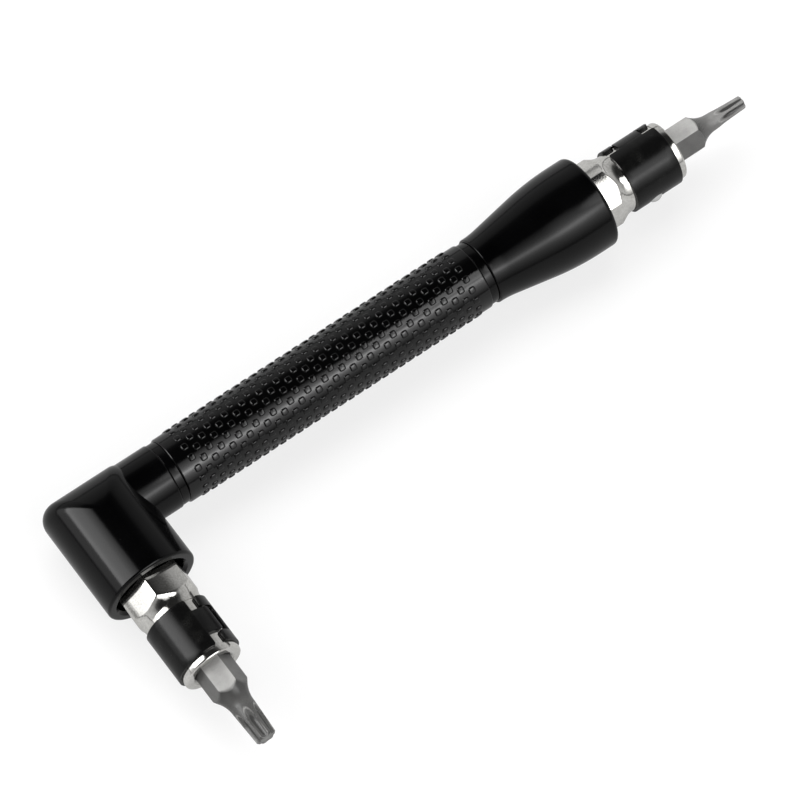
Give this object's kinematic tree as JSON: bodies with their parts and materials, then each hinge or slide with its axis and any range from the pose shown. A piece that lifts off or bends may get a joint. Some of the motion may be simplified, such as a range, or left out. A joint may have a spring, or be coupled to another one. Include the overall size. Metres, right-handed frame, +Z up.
{
  "type": "offset screwdriver",
  "caption": "L-shaped offset screwdriver: knurled black handle, quarter-inch hex bit holders at its straight end and on its right-angled arm, holding six-lobe bits.",
  "frame": {"origin": "middle of the tool's box, on the surface that it lies on", "axes": "+X along the handle towards the straight end, -Y along the short arm, +Z up from the table"},
  "size_m": [0.1494, 0.0596, 0.018],
  "materials": {
    "gloss_black": "gloss black, anodised",
    "chrome": "bright nickel-chrome plate on steel",
    "spring_black": "satin black oxide on spring steel",
    "ball_steel": "polished bearing steel",
    "bit_steel": "sand-blasted tool steel",
    "rod_steel": "drawn steel rod"
  },
  "bodies": {
    "tool": {"elbow": "gloss_black", "rear_ring": "gloss_black", "grip": "gloss_black", "front_ring": "gloss_black", "nose": "gloss_black", "core_rod": "rod_steel", "straight_holder": "chrome", "straight_band": "spring_black", "angled_holder": "chrome", "angled_band": "spring_black"},
    "straight_bit": {"straight_bit": "bit_steel"},
    "angled_bit": {"angled_bit": "bit_steel"},
    "straight_ball": {"straight_ball": "ball_steel"},
    "angled_ball": {"angled_ball": "ball_steel"}
  },
  "joints": [
    {"name": "straight_bit_slide", "type": "slide", "parent": "tool", "child": "straight_bit", "axis": [1, 0, 0], "range_m": [0, 0.015]},
    {"name": "angled_bit_slide", "type": "slide", "parent": "tool", "child": "angled_bit", "axis": [0, -1, 0], "range_m": [0, 0.015]},
    {"name": "straight_ball_drop", "type": "slide", "parent": "tool", "child": "straight_ball", "axis": [0, 0.9397, 0.342], "range_m": [0, 0.00036]},
    {"name": "angled_ball_drop", "type": "slide", "parent": "tool", "child": "angled_ball", "axis": [0.766, 0, 0.6428], "range_m": [0, 0.00036]}
  ],
  "couplings": [
    {"joint": "straight_ball_drop", "follows": "straight_bit_slide", "ratio": 0.0235},
    {"joint": "angled_ball_drop", "follows": "angled_bit_slide", "ratio": 0.0235}
  ]
}
